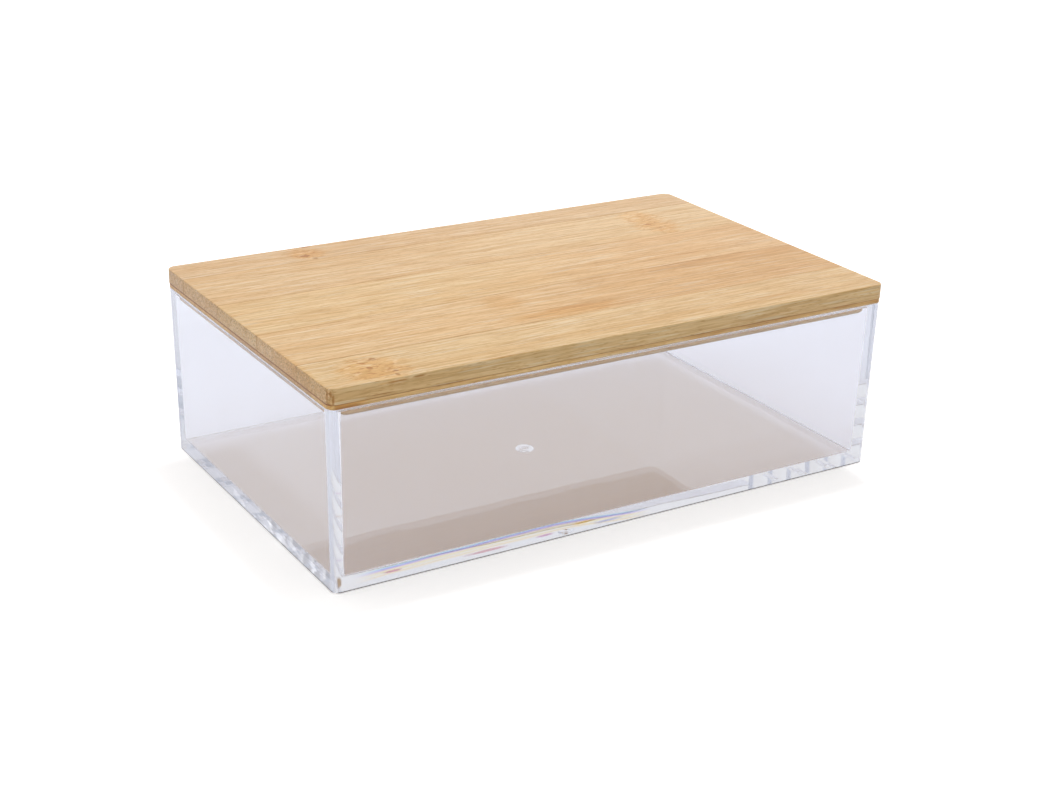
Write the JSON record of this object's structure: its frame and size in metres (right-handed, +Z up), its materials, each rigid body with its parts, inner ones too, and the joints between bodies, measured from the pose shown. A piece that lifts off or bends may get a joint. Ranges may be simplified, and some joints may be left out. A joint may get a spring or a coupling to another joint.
{
  "type": "storage box with lid",
  "caption": "Low clear rectangular box with a flush wooden lid of glued strips; the lid's rebated underside drops into the rim and lifts straight off.",
  "frame": {"origin": "centre of the box's base, on the surface it stands on", "axes": "+X along the long side, +Y to the back long side, +Z up through the lid"},
  "size_m": [0.15, 0.0924, 0.0477],
  "materials": {
    "clear_plastic": "clear, polished",
    "bamboo_top": "sanded flat-pressed bamboo, clear satin oil",
    "bamboo_lower": "sanded flat-pressed bamboo, clear satin oil"
  },
  "bodies": {
    "box": {"clear_box": "clear_plastic"},
    "lid": {"lid_top_strip_1": "bamboo_top", "lid_top_strip_2": "bamboo_top", "lid_top_strip_3": "bamboo_top", "lid_top_strip_4": "bamboo_top", "lid_top_strip_5": "bamboo_top", "lid_lower_strip_1": "bamboo_lower", "lid_lower_strip_2": "bamboo_lower", "lid_lower_strip_3": "bamboo_lower", "lid_lower_strip_4": "bamboo_lower", "lid_lower_strip_5": "bamboo_lower"}
  },
  "joints": [
    {"name": "lid_lift", "type": "slide", "parent": "box", "child": "lid", "axis": [0, 0, 1], "range_m": [0, 0.04]}
  ]
}
